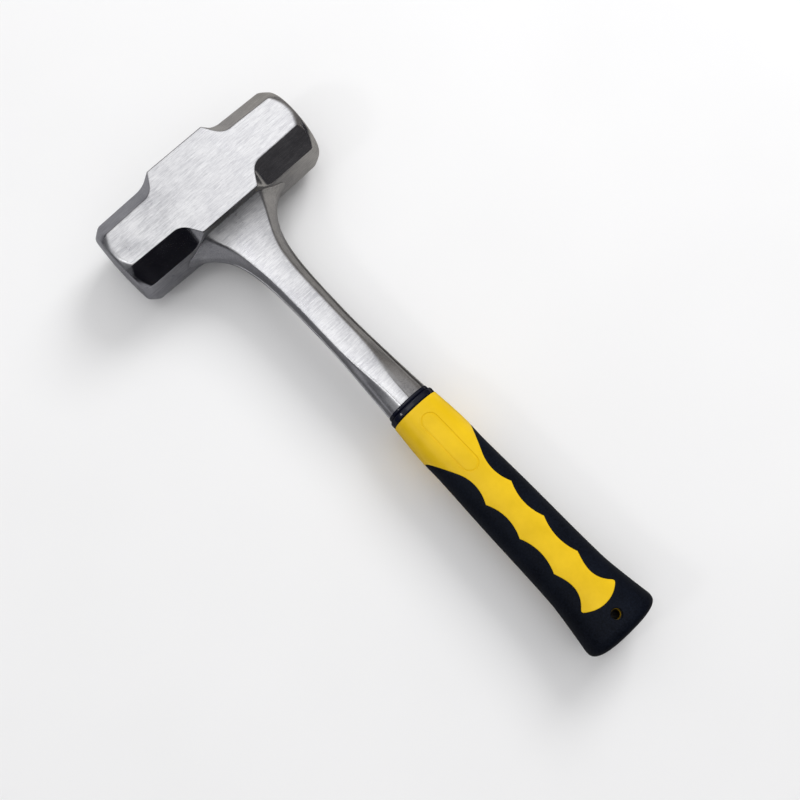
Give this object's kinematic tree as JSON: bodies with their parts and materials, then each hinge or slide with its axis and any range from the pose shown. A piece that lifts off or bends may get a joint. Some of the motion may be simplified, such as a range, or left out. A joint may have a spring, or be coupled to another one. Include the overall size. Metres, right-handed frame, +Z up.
{
  "type": "sledgehammer",
  "caption": "Short one-piece forged sledgehammer with an octagonal-armed head, flared neck and a two-material grip with a lanyard hole.",
  "frame": {"origin": "centre of the lower cheek of the head, under the point where the axes of head and handle cross", "axes": "+X along the head towards a striking face, -Y down the handle to the butt, +Z up through the cheeks; the hammer lies on its side"},
  "size_m": [0.11, 0.297, 0.04],
  "materials": {
    "steel": "ground and brushed across the handle",
    "collar_rubber": "satin",
    "yellow_plastic": "satin moulded",
    "black_rubber": "matte moulded"
  },
  "bodies": {
    "root": {"hammer_forging": "steel", "collar": "collar_rubber", "grip_core": "yellow_plastic", "grip_overmould": "black_rubber"}
  },
  "joints": []
}
